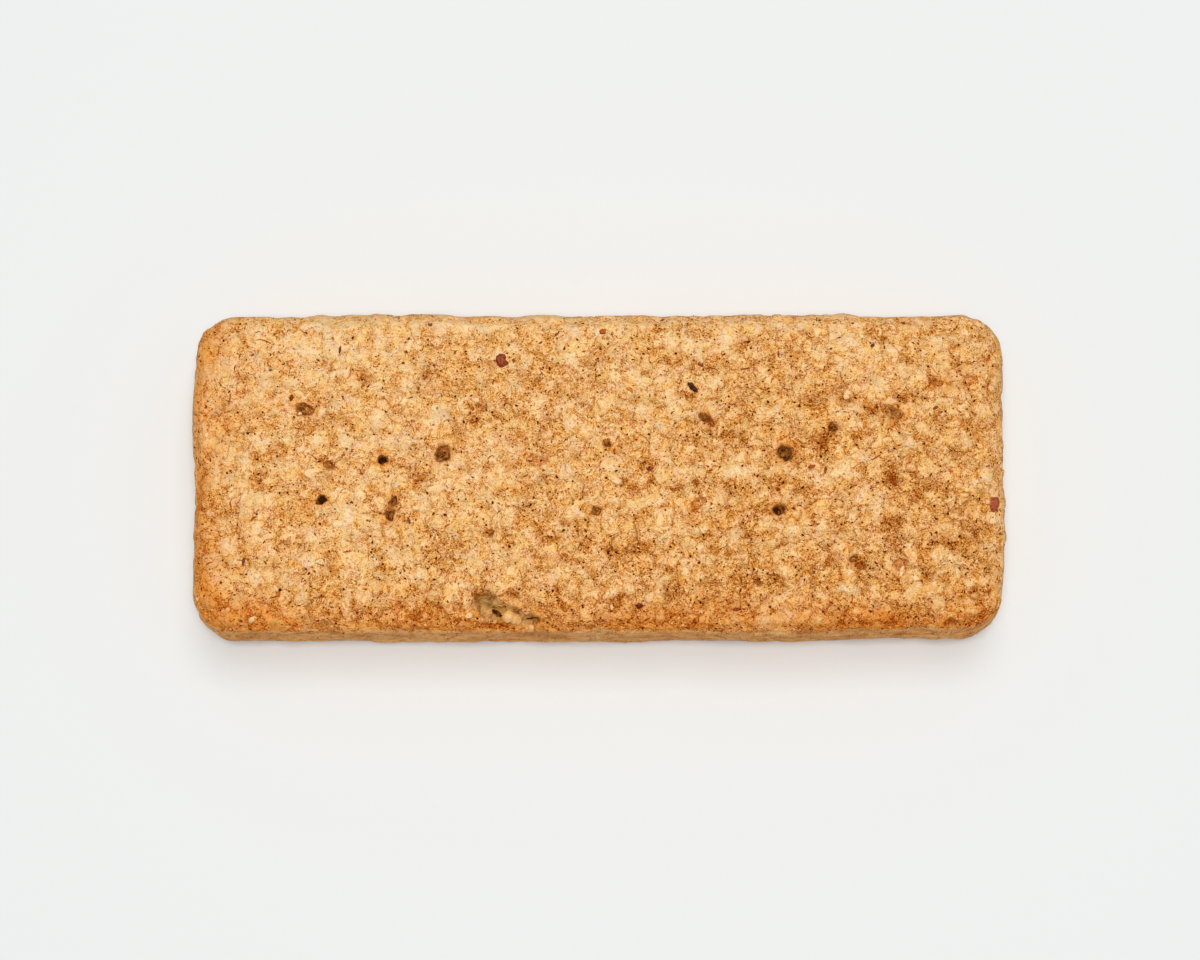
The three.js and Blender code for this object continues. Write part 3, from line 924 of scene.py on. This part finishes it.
@dataclass
class Slab:
    """The bar's skin: a fine block moved to the slab's form, with lumps, flakes, pits and layered walls."""

    form: SlabForm
    cells_long: int = 356
    cells_wide: int = 142
    wall_rings: int = 27
    base_cells_long: int = 80
    base_cells_wide: int = 32
    refine_margin: float = 0.5
    creases: tuple[Relief, ...] = (Relief(3.8, 0.7, 51), Relief(1.8, 0.4, 67), Relief(0.95, 0.2, 71))
    # How strongly each crease layer paints light on its crests and shade in its valleys.
    crease_light: tuple[float, ...] = (0.3, 0.62, 0.95)
    wall_crease: float = 0.32
    flake_count: int = 260
    flake_half_long: tuple[float, float] = (0.6, 1.7)
    flake_slim: tuple[float, float] = (0.5, 0.85)
    flake_rise: tuple[float, float] = (0.05, 0.2)
    flake_tilt: float = 0.14
    trough_count: int = 90
    trough_reach: tuple[float, float] = (0.5, 1.4)
    trough_depth: tuple[float, float] = (0.12, 0.4)
    pore_count: int = 36
    pore_reach: tuple[float, float] = (0.2, 0.42)
    pore_depth: tuple[float, float] = (0.3, 0.8)
    slit_count: int = 150
    slit_half_long: tuple[float, float] = (0.3, 1.3)
    slit_half_tall: tuple[float, float] = (0.14, 0.36)
    slit_depth: float = 0.5
    ledge_height: float = 11.9
    ledge_step: float = 0.3
    browning: Browning = Browning()
    seed: int = 2026
    points: Array = field(default=None, init=False)
    normals: Array = field(default=None, init=False)
    skin_normals: Array = field(default=None, init=False)
    top: Array = field(default=None, init=False)
    clear: Array = field(default=None, init=False)

    def _block(self) -> bmesh.types.BMesh:
        """Makes the block: a fine top, rings down the walls and a coarser base."""
        form = self.form
        made = bmesh.new()
        bmesh.ops.create_grid(made, x_segments=self.cells_long, y_segments=self.cells_wide, size=0.5)
        bmesh.ops.scale(made, vec=(form.length, form.width, 1), verts=made.verts)
        bmesh.ops.translate(made, vec=(0, 0, form.height), verts=made.verts)
        rim = [edge for edge in made.edges if edge.is_boundary]
        heights = [form.height * (0.5 + 0.5 * math.cos(math.pi * ring / self.wall_rings))
                   for ring in range(self.wall_rings + 1)]
        for above, below in zip(heights, heights[1:]):
            grown = bmesh.ops.extrude_edge_only(made, edges=rim)["geom"]
            verts = [part for part in grown if isinstance(part, bmesh.types.BMVert)]
            bmesh.ops.translate(made, vec=(0, 0, below - above), verts=verts)
            rim = [part for part in grown if isinstance(part, bmesh.types.BMEdge)]
        self._close_base(made, rim)
        self._refine_pits(made)
        bmesh.ops.recalc_face_normals(made, faces=made.faces)
        return made

    def _close_base(self, made: bmesh.types.BMesh, rim: list[bmesh.types.BMEdge]) -> None:
        """Closes the underside with a coarser grid, bridged to the lowest ring."""
        form = self.form
        base = bmesh.ops.create_grid(made, x_segments=self.base_cells_long,
                                     y_segments=self.base_cells_wide, size=0.5)["verts"]
        bmesh.ops.scale(made, vec=(form.length - 2.4, form.width - 2.4, 1), verts=base)
        loop = {edge for vert in base for edge in vert.link_edges if edge.is_boundary}
        bmesh.ops.bridge_loops(made, edges=[*rim, *loop])

    def _refine_pits(self, made: bmesh.types.BMesh) -> None:
        """Splits the faces round each named pit, so that its walls are smooth."""
        top = self.form.height
        faces = [face for face in made.faces if face.calc_center_median().z > top - MM]
        centres = np.array([face.calc_center_median()[:2] for face in faces])
        near = np.zeros(len(faces), bool)
        for spot in (*PITS, *HOLLOW):
            reach = max(spot.long, spot.wide) + self.refine_margin
            near |= np.hypot(centres[:, 0] - spot.x, centres[:, 1] - spot.y) < reach
        edges = {edge for face, is_near in zip(faces, near) if is_near for edge in face.edges}
        bmesh.ops.subdivide_edges(made, edges=list(edges), cuts=1, use_grid_fill=True)

    @staticmethod
    def _reach(points: Array, spot: Spot) -> Array:
        """Gives each plan point's distance from a spot's middle, 1 on its outline."""
        turn = math.radians(spot.turn)
        dx, dy = points[:, 0] - spot.x, points[:, 1] - spot.y
        along = dx * math.cos(turn) + dy * math.sin(turn)
        across = dy * math.cos(turn) - dx * math.sin(turn)
        return np.hypot(along / spot.long, across / spot.wide)

    @staticmethod
    def _ragged(points: Array, layers: tuple[Relief, ...]) -> Array:
        """Shifts points by noise, so that round shapes measured at them come out ragged."""
        shifts = [sum(Relief(one.wave, one.height, one.seed + axis).at(points) for one in layers)
                  for axis in range(3)]
        return points + np.stack(shifts, axis=1)

    def _random_spots(self, rng: np.random.Generator, count: int, sizes: tuple[float, float],
                      depths: tuple[float, float]) -> list[Spot]:
        """Chooses places for small hollows all over the top."""
        form = self.form
        spots = []
        for _ in range(count):
            long = rng.uniform(*sizes)
            spots.append(Spot(rng.uniform(-0.48, 0.48) * form.length, rng.uniform(-0.47, 0.47) * form.width,
                              long, long * rng.uniform(0.5, 0.9), rng.uniform(*depths),
                              rng.uniform(-60, 60)))
        return spots

    def _press_flakes(self, skin: Skin, ragged: Array, rng: np.random.Generator) -> tuple[Array, Array]:
        """Presses oat flakes into the skin.

        Args:
            skin: the smooth skin.
            ragged: its points, shifted by noise.
            rng: the seeded random source.

        Returns:
            The height that the flakes add, and how much of a flake each point is.
        """
        points, normals = skin.points, skin.normals
        lift = np.zeros(len(points))
        mask = np.zeros(len(points))
        mixed = points * 0.4 + ragged * 0.6
        for index in rng.choice(np.flatnonzero(~skin.base), self.flake_count, replace=False):
            centre, out = points[index], normals[index]
            side = np.cross(out, rng.normal(size=3))
            side /= np.linalg.norm(side)
            other = np.cross(out, side)
            half_long = rng.uniform(*self.flake_half_long)
            half_wide = half_long * rng.uniform(*self.flake_slim)
            up = rng.uniform(*self.flake_rise)
            tilt = rng.uniform(-self.flake_tilt, self.flake_tilt)
            shade = rng.uniform(0.0, 1.0) ** 2
            away = mixed - centre
            close = np.flatnonzero(np.abs(away).max(axis=1) < half_long * 1.5)
            part = away[close]
            a, b = part @ side / half_long, part @ other / half_wide
            ring = np.hypot(a, b)
            facing = normals[close] @ out > 0.5
            inside = (1 - eased(0.8, 1.06, ring)) * facing
            groove = np.exp(-((ring - 1.1) / 0.14) ** 2) * facing
            lift[close] = np.maximum(lift[close], inside * (up + tilt * a)) - groove * 0.08
            mask[close] = np.maximum(mask[close] * (1 - inside), inside * shade)
        return lift, mask

    def _wall_relief(self, skin: Skin, rng: np.random.Generator) -> tuple[Array, Array, Array]:
        """Shapes the walls: a ledge under the top crust, fine layers and short slits.

        Args:
            skin: the smooth skin.
            rng: the seeded random source.

        Returns:
            The height that this adds, the painted shade in the slits and along the crack under the ledge, and
            the ledge's pale lip, partly a painted highlight.
        """
        points, normals = skin.points, skin.normals
        flat = points * (0.18, 0.18, 1.0)
        line = self.ledge_height + Relief(9.0, 0.9, 211).at(points * (1, 1, 0))
        over = points[:, 2] - line
        step = self.ledge_step * eased(-0.05, 0.12, over) * eased(3.2, 1.2, over)
        crack = np.exp(-((over + 0.3) / 0.35) ** 2) * eased(-0.1, 0.35, Relief(4.0, 1.0, 223).at(points))
        layers = Relief(1.3, 0.14, 227).at(flat) + Relief(0.6, 0.08, 229).at(flat)
        layers += Relief(1.1, 0.1, 239).at(points)
        depth = np.zeros(len(points))
        for index in rng.choice(np.flatnonzero(skin.walls), self.slit_count, replace=False):
            half_long, half_tall = rng.uniform(*self.slit_half_long), rng.uniform(*self.slit_half_tall)
            away = points - points[index]
            close = np.flatnonzero(np.abs(away).max(axis=1) < half_long)
            level = np.hypot(away[close, 0], away[close, 1]) / half_long
            inside = 1 - np.hypot(level, away[close, 2] / half_tall)
            inside = np.clip(inside, 0, 1) * (normals[close] @ normals[index] > 0.5)
            depth[close] = np.maximum(depth[close], inside)
        # Painted shade in the slits, darker where they are deeper, and a painted shadow along the crack under
        # the ledge.
        dark = eased(0.1, 0.8, depth) + crack * 0.5
        lip = np.exp(-((over - 0.35) / 0.35) ** 2) * eased(-0.3, 0.2, Relief(2.2, 1.0, 233).at(points))
        settle = 0.1 + 0.25 * eased(7.0, 11.0, points[:, 2])
        return step - settle + layers - crack * 0.16 - depth * self.slit_depth, dark, lip

    def _hollows(self, skin: Skin, ragged: Array, rng: np.random.Generator) -> Hollows:
        """Measures the troughs, lumps and pits, and the torn hollow.

        Args:
            skin: the smooth skin.
            ragged: its points, shifted by noise.
            rng: the seeded random source.

        Returns:
            What they do at each point, before the walls are left out.
        """
        frayed = self._ragged(skin.points, (Relief(0.8, 0.3, 141), Relief(0.4, 0.15, 151)))
        torn = ragged * 0.7 + skin.points * 0.3
        found = Hollows(*np.zeros((6, len(ragged))))
        troughs = self._random_spots(rng, self.trough_count, self.trough_reach, self.trough_depth)
        pores = self._random_spots(rng, self.pore_count, self.pore_reach, self.pore_depth)
        for spot in (*TROUGHS, *troughs):
            bowl = np.clip(1 - self._reach(ragged, spot) ** 2 / 1.6, 0, 1) ** 2
            found.soft = np.maximum(found.soft, bowl * spot.deep)
        for spot in LUMPS:
            hump = np.clip(1 - self._reach(ragged, spot) ** 2 / 1.6, 0, 1) ** 1.5
            found.bright = np.maximum(found.bright, hump * spot.deep)
        for spot in (*PITS, *pores):
            reach = self._reach(frayed, spot)
            # Deeper pits get darker paint: painted shade that grows with depth, up to a painted black.
            dark = min(1.3, max(0.15, spot.deep * 1.6 - 0.7))
            found.deep = np.maximum(found.deep, eased(1.12, 0.5, reach) * spot.deep)
            found.pit = np.maximum(found.pit, eased(1.2, 0.55, reach) * dark)
            found.halo = np.maximum(found.halo, eased(2.2, 1.0, reach) * min(1.0, spot.deep))
        for spot in HOLLOW:
            inside = eased(1.05, 0.6, self._reach(torn, spot))
            found.deep = np.maximum(found.deep, inside * spot.deep)
            found.khaki = np.maximum(found.khaki, inside * 0.85)
        return found

    def _move(self, mesh: bpy.types.Mesh, skin: Skin, grow: Array) -> None:
        """Gives the mesh its relief, centred over the solid, and keeps the places that the bits sit at.

        Args:
            mesh: the skin's mesh.
            skin: the smooth skin.
            grow: how far out each point moves, in millimetres.
        """
        moved = skin.points + skin.normals * grow[:, None]
        moved[skin.base, 2] = 0.0
        low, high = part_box(NODE)
        middle = np.array([(low.x + high.x) / 2, (low.y + high.y) / 2, 0]) / MM
        shift = middle - (moved.min(axis=0) + moved.max(axis=0)) / 2
        shift[2] = 0
        moved += shift
        mesh.vertices.foreach_set("co", (moved * MM).astype(np.float32).ravel())
        mesh.polygons.foreach_set("use_smooth", [True] * len(mesh.polygons))
        mesh.update()
        self.points, self.normals, self.top = moved, skin.normals, skin.top
        skin_normals = np.empty(len(moved) * 3, np.float32)
        mesh.vertex_normals.foreach_get("vector", skin_normals)
        self.skin_normals = skin_normals.reshape(-1, 3)

    def _paint(self, mesh: bpy.types.Mesh, skin: Skin, light: Array, lip: Array, hollows: Hollows) -> None:
        """Writes the numbers that the crumb's finish reads at each point.

        Args:
            mesh: the skin's mesh.
            skin: the smooth skin.
            light: painted light and shade from the relief: lighter where a point stands out of what is round
                it, darker where it lies in, below 0, and in the wall's slits.
            lip: how much of the ledge's pale lip each point is, partly a painted highlight.
            hollows: what the spots of the top do.
        """
        x, y = skin.points[:, 0], skin.points[:, 1]
        on_top, top_share = np.where(skin.top, 1.0, 0.0), skin.top_share
        # Painted light: lighter towards the far side, along the far rim and the right end's rim, and wherever
        # the skin faces sideways or down. Painted shade along the front band, and darker towards the right
        # end.
        painted_light = y * 0.0022 - x * 0.0013 + (1 - top_share) * 0.13
        painted_light += eased(16.0, 19.4, y) * 0.11 * on_top + eased(46.5, 49.5, x) * 0.12
        painted_light -= eased(-13.5, -18.5, y) * 0.07 * on_top
        # Browning, with painted shade along the front band and a darker, more orange ring round each pit.
        toast_and_shade = self.browning.at(self.form, skin, hollows.halo * on_top) * (1 - hollows.khaki)
        painted = {
            "painted_light": painted_light,
            "light": light,
            # Painted shade inside the pits, black at the deepest.
            "pit": hollows.pit * on_top,
            "lip": np.where(skin.walls, np.clip(lip, 0, 1) * 0.45, 0.0),
            "khaki": np.clip(hollows.khaki * on_top, 0, 1),
            "toast_and_shade": toast_and_shade * np.where(skin.walls, 0.7, 1.0),
            "wall": np.where(skin.base, 0.0, np.clip(1 - top_share * 2.2, 0, 1)),
        }
        for name, values in painted.items():
            carry(mesh, name, values)

    def build(self) -> bpy.types.Mesh:
        """Makes the skin's mesh, with what its material reads."""
        form = self.form
        made = self._block()
        block = np.array([vert.co[:] for vert in made.verts])
        mesh = bpy.data.meshes.new("bar_skin")
        made.to_mesh(mesh)
        made.free()
        skin = Skin(*form.shape(block), block[:, 2] < 1e-6)
        rng = np.random.default_rng(self.seed)
        ragged = self._ragged(skin.points, (Relief(1.5, 0.5, 101), Relief(0.6, 0.22, 131)))
        shared = form.shared_relief(skin.points)
        folds = [np.hypot(layer.at(skin.points), 0.25 * layer.height) - 0.4 * layer.height
                 for layer in self.creases]
        lift, flake = self._press_flakes(skin, ragged, rng)
        layered, slit_shade, lip = self._wall_relief(skin, rng)
        hollows = self._hollows(skin, ragged, rng)
        on_top, top_share = np.where(skin.top, 1.0, 0.0), skin.top_share
        keep = form.wall_relief + (1 - form.wall_relief) * top_share
        grow = shared * keep + sum(folds) * np.where(skin.top, top_share ** 2, self.wall_crease)
        grow += lift * (0.4 + 0.6 * top_share)
        crumbs = Relief(0.5, 0.16, 161).at(skin.points) * np.clip(hollows.deep, 0, 1)
        spotted = hollows.bright * 0.5 - hollows.soft - hollows.deep + crumbs
        grow += spotted * on_top + np.where(skin.walls, layered, 0.0)
        rise = np.where(skin.top, 1.0, eased(0.0, 1.6, skin.points[:, 2]))
        self._move(mesh, skin, np.where(skin.base, 0.0, grow * rise))
        self.clear = (hollows.pit < 0.05) & (hollows.khaki < 0.05) & (self.points[:, 2] > 0.7)
        # Painted light and shade from the relief: crests, raised crumb and lumps lighter; creases, troughs
        # and the wall's slits darker. Flakes are paler in their own right, and dips and lumps also differ in
        # their own tone.
        light = sum(fold * share for fold, share in zip(folds, self.crease_light))
        light += shared * 0.06 + flake * 0.14 + (hollows.bright * 0.5 - hollows.soft * 0.75) * on_top
        self._paint(mesh, skin, light - slit_shade * 0.3 * skin.walls, lip, hollows)
        return mesh

    def dress(self, mesh: bpy.types.Mesh) -> bpy.types.Object:
        """Finishes the skin and lets it stand for the solid."""
        piece = hand_in(mesh, "bar_skin", CrumbFinish().material())
        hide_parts(NODE)
        return piece


@dataclass
class Bits:
    """Small bits of one kind, half sunk in the slab's skin and joined in one piece."""

    name: str
    slot: Slot
    finish: BitFinish
    placed: tuple[Spot, ...] = ()
    count: int = 0
    half_long: tuple[float, float] = (0.2, 0.6)
    slim: tuple[float, float] = (0.5, 0.8)
    flat: tuple[float, float] = (0.1, 0.2)
    sunk: float = 0.3
    uneven: float = 0.12
    lean: float = 25.0
    bend: float = 0.0
    fineness: int = 2
    on_walls: bool = True
    seed: int = 1

    def _seats(self, slab: Slab, rng: np.random.Generator) -> list[tuple[int, Spot]]:
        """Chooses each bit's place on the skin and its half sizes, the placed ones first."""
        seats = []
        tops = np.flatnonzero(slab.top)
        for spot in self.placed:
            away = np.hypot(slab.points[tops, 0] - spot.x, slab.points[tops, 1] - spot.y)
            seats.append((int(tops[away.argmin()]), spot))
        open_skin = np.flatnonzero(slab.clear & (slab.top | self.on_walls))
        for index in rng.choice(open_skin, self.count, replace=False):
            long = rng.uniform(*self.half_long)
            wide = long * rng.uniform(*self.slim)
            seats.append((int(index), Spot(0, 0, long, wide, long * rng.uniform(*self.flat),
                                           rng.uniform(0, 360))))
        return seats

    def _frame(self, out: Vector, spot: Spot, rng: np.random.Generator) -> Matrix:
        """Gives the bit's own axes: along, across and out of the skin, with its lean and turn."""
        flat_turn = Matrix.Rotation(math.radians(spot.turn), 4, "Z")
        onto_skin = Vector((0, 0, 1)).rotation_difference(out).to_matrix().to_4x4()
        lean = Matrix.Rotation(math.radians(rng.uniform(-self.lean, self.lean)), 4, "Y")
        roll = Matrix.Rotation(math.radians(rng.uniform(-self.lean, self.lean)), 4, "X")
        return onto_skin @ flat_turn @ lean @ roll

    def build(self, slab: Slab) -> bpy.types.Object:
        """Makes the bits on the slab and hands them in as one piece."""
        rng = np.random.default_rng(self.seed)
        made = bmesh.new()
        tones = []
        for index, spot in self._seats(slab, rng):
            out = Vector(slab.normals[index] * 0.6 + slab.skin_normals[index] * 0.4).normalized()
            new = bmesh.ops.create_icosphere(made, subdivisions=self.fineness, radius=1)["verts"]
            curve = rng.uniform(-self.bend, self.bend)
            factors = 1 + rng.normal(0, self.uneven, len(new))
            for vert, factor in zip(new, factors):
                vert.co *= factor
                vert.co.y += curve * (vert.co.x ** 2 - 0.4) * spot.long / spot.wide
            size = Matrix.Diagonal((spot.long, spot.wide, spot.deep, 1))
            centre = Vector(slab.points[index]) - out * spot.deep * self.sunk
            place = Matrix.Translation(centre) @ self._frame(out, spot, rng) @ size
            bmesh.ops.transform(made, matrix=place, verts=new)
            tones += [rng.uniform(0, 1)] * len(new)
        bmesh.ops.scale(made, vec=(MM, MM, MM), verts=made.verts)
        bmesh.ops.recalc_face_normals(made, faces=made.faces)
        mesh = bpy.data.meshes.new(self.name)
        made.to_mesh(mesh)
        made.free()
        carry(mesh, "tone", np.array(tones))
        mesh.polygons.foreach_set("use_smooth", [True] * len(mesh.polygons))
        return hand_in(mesh, self.name, self.finish.material())


def small_bits() -> list[Bits]:
    """Lists the bits that are pressed into the crumb, kind by kind."""
    oat = BitFinish("rolled_oat", rgb(253, 212, 158), rgb(234, 180, 116), specks=0.5)
    bran = BitFinish("bran_skin", rgb(194, 104, 34), rgb(124, 48, 8))
    amber = BitFinish("amber_bran", rgb(232, 156, 62), rgb(190, 104, 34))
    crumb = BitFinish("loose_crumb", rgb(246, 198, 130), rgb(206, 142, 74), specks=0.4)
    fruit = BitFinish("dried_fruit", rgb(174, 90, 56), rgb(92, 26, 12), speck=rgb(210, 138, 90), specks=0.6)
    seed = BitFinish("dark_seed", rgb(116, 72, 52), rgb(50, 22, 16), roughness=0.6)
    return [
        Bits("oat_flakes", Slot.OAT, oat, OAT_SPOTS, 40, (0.3, 0.7), (0.5, 0.85), (0.14, 0.24),
             sunk=0.6, uneven=0.2, on_walls=False, seed=11),
        Bits("bran_shards", Slot.BRAN, bran, BRAN_SPOTS, 500, (0.08, 0.24), (0.3, 0.7), (0.15, 0.4),
             sunk=0.2, lean=35, fineness=1, seed=12),
        Bits("bran_threads", Slot.BRAN, bran, THREADS, 70, (0.2, 0.5), (0.14, 0.24), (0.08, 0.14),
             sunk=0.1, lean=10, bend=0.35, seed=13),
        Bits("amber_flecks", Slot.BRAN, amber, AMBER_SPOTS, 110, (0.2, 0.45), (0.4, 0.8), (0.2, 0.4),
             sunk=0.5, lean=30, fineness=1, seed=14),
        Bits("hollow_crumbs", Slot.OAT, crumb, HOLLOW_CRUMBS, sunk=-0.1, uneven=0.09, fineness=3, seed=18),
        Bits("loose_crumbs", Slot.CRUMB, crumb, (), 500, (0.12, 0.28), (0.7, 1.0), (0.6, 0.9),
             sunk=0.4, uneven=0.2, fineness=1, on_walls=False, seed=15),
        Bits("fruit_bits", Slot.FRUIT, fruit, FRUIT_SPOTS, 14, (0.16, 0.3), (0.5, 0.9), (0.4, 0.7),
             uneven=0.2, seed=16),
        Bits("dark_seeds", Slot.SEED, seed, SEED_SPOTS, 0, lean=8, seed=17),
    ]


@dataclass(frozen=True)
class Camera:
    """The camera at the photo's angle: straight down but for a small tilt towards the front."""

    tilt: float = 7.4
    distance: float = 413.5
    aim: tuple[float, float, float] = (0.15, -0.2, 7.5)
    lens: float = 100.0
    sensor: float = 36.0

    def build(self) -> None:
        """Makes the scene's camera."""
        data = bpy.data.cameras.new("camera")
        data.lens, data.sensor_width = self.lens, self.sensor
        data.clip_start, data.clip_end = 0.01, 10.0
        camera = bpy.data.objects.new("camera", data)
        tilt = math.radians(self.tilt)
        back = Vector((0, -math.sin(tilt), math.cos(tilt)))
        camera.location = (Vector(self.aim) + back * self.distance) * MM
        camera.rotation_euler = (tilt, 0, 0)
        bpy.context.scene.collection.objects.link(camera)
        bpy.context.scene.camera = camera


@dataclass(frozen=True)
class Softbox:
    """A square light that faces the bar: its place and size in metres, and its power."""

    name: str
    place: tuple[float, float, float]
    size: float
    power: float

    def build(self) -> None:
        """Adds the light to the scene."""
        data = bpy.data.lights.new(self.name, "AREA")
        data.size, data.energy = self.size, self.power
        lamp = bpy.data.objects.new(self.name, data)
        lamp.location = self.place
        lamp.rotation_euler = (-Vector(self.place)).to_track_quat("-Z", "Y").to_euler()
        bpy.context.scene.collection.objects.link(lamp)


@dataclass(frozen=True)
class Studio:
    """A plain pale floor under soft light from above and from the far side."""

    floor_size: float = 6.0
    floor_colour: tuple = (0.803, 0.818, 0.811, 1.0)
    sky: float = 0.3
    boxes: tuple[Softbox, ...] = (
        Softbox("overhead", (0.0, -0.08, 1.0), 0.25, 5.75),
        Softbox("far", (0.05, 0.3, 1.0), 0.4, 2.6),
    )

    def build(self) -> None:
        """Makes the floor, the lights and the plain view transform."""
        scene = bpy.context.scene
        made = bmesh.new()
        bmesh.ops.create_grid(made, x_segments=1, y_segments=1, size=self.floor_size / 2)
        mesh = bpy.data.meshes.new("floor")
        made.to_mesh(mesh)
        made.free()
        net = Net("pale_floor")
        net.set(Base_Color=self.floor_colour, Roughness=0.9, Specular_IOR_Level=0.1)
        mesh.materials.append(net.material)
        floor = bpy.data.objects.new("floor", mesh)
        scene.collection.objects.link(floor)
        world = bpy.data.worlds.new("studio")
        world.use_nodes = True
        ground = world.node_tree.nodes["Background"]
        ground.inputs["Color"].default_value = (1, 1, 1, 1)
        ground.inputs["Strength"].default_value = self.sky
        scene.world = world
        for box in self.boxes:
            box.build()
        scene.view_settings.view_transform = "Standard"


def main() -> None:
    """Builds the bar and its studio."""
    logging.basicConfig(level=logging.INFO, format="%(name)s: %(message)s")
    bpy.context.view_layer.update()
    form = SlabForm()
    slab = Slab(form)
    slab.dress(slab.build())
    for bits in small_bits():
        bits.build(slab)
    Camera().build()
    Studio().build()


if __name__ == "__main__":
    main()
